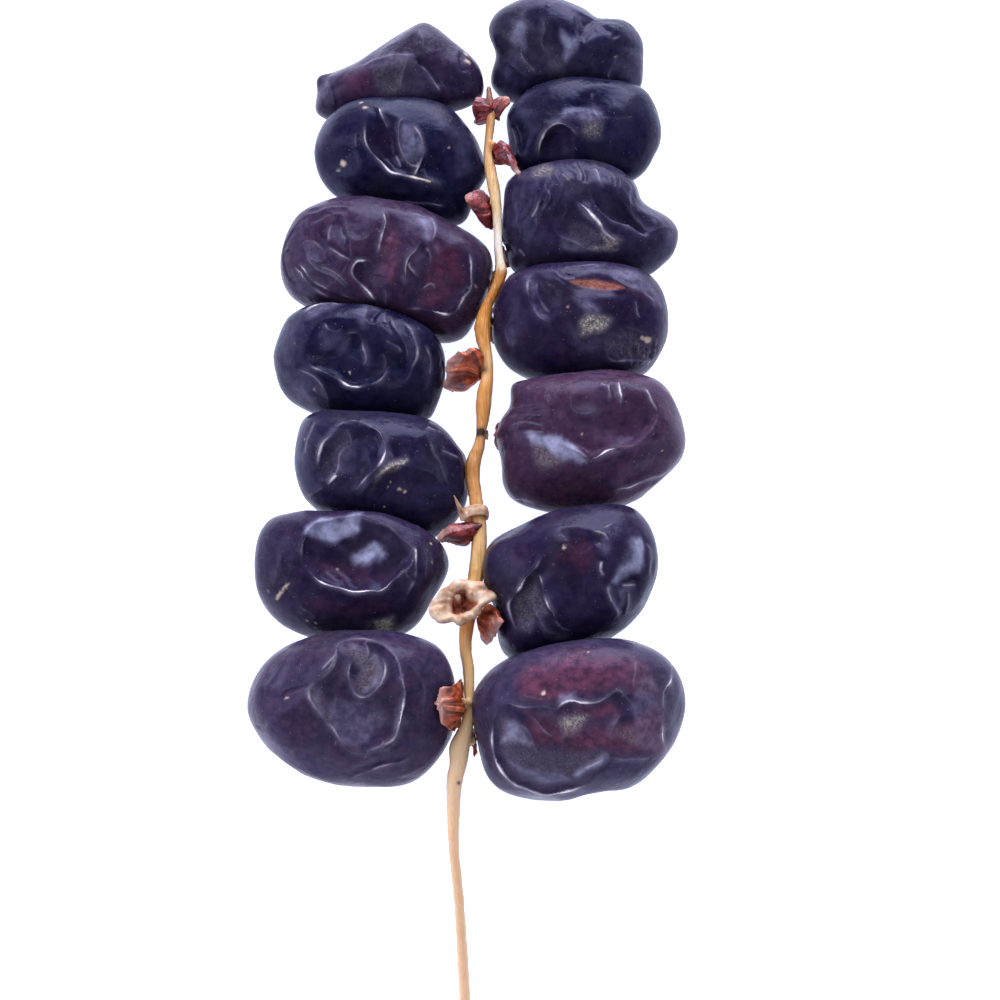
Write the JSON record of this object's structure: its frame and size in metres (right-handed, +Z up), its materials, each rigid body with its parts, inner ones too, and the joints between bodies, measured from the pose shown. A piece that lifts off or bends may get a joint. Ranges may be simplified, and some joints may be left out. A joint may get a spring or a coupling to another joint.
{
  "type": "strand of bousthammi dates",
  "caption": "Picked strand of plump, wrinkled, nearly black dates, set in two rows on a thin zigzag woody stem with small leathery flower caps.",
  "frame": {"origin": "bottom centre of the bounding box, on the surface that the dates rest on", "axes": "+Y along the stem towards its tip, the cut end towards -Y; +X to the right seen from above with the tip away; +Z up"},
  "size_m": [0.0764, 0.2014, 0.0263],
  "materials": {
    "date_skin": "blackish purple fruit skin, wrinkled, semi-gloss with a thin waxy bloom",
    "flower_cap": "dried reddish brown flower cap, semi-gloss, with paler rims",
    "stem_wood": "smooth yellow-tan woody strand, satin, with fine lengthwise fibres",
    "dry_husk": "dry papery husk, pale beige, matte"
  },
  "bodies": {
    "root": {"stem": "stem_wood", "date_left_1": "date_skin", "date_left_2": "date_skin", "date_left_3": "date_skin", "date_left_4": "date_skin", "date_left_5": "date_skin", "date_left_6": "date_skin", "date_left_7": "date_skin", "date_right_1": "date_skin", "date_right_2": "date_skin", "date_right_3": "date_skin", "date_right_4": "date_skin", "date_right_5": "date_skin", "date_right_6": "date_skin", "date_right_7": "date_skin", "cap_left_1": "flower_cap", "cap_left_2": "flower_cap", "cap_left_3": "flower_cap", "cap_left_4": "flower_cap", "cap_left_5": "flower_cap", "cap_left_6": "flower_cap", "cap_left_7": "flower_cap", "cap_right_1": "flower_cap", "cap_right_2": "flower_cap", "cap_right_3": "flower_cap", "cap_right_4": "flower_cap", "cap_right_5": "flower_cap", "cap_right_6": "flower_cap", "cap_right_7": "flower_cap", "empty_cap": "dry_husk", "dry_collar": "dry_husk"}
  },
  "joints": []
}
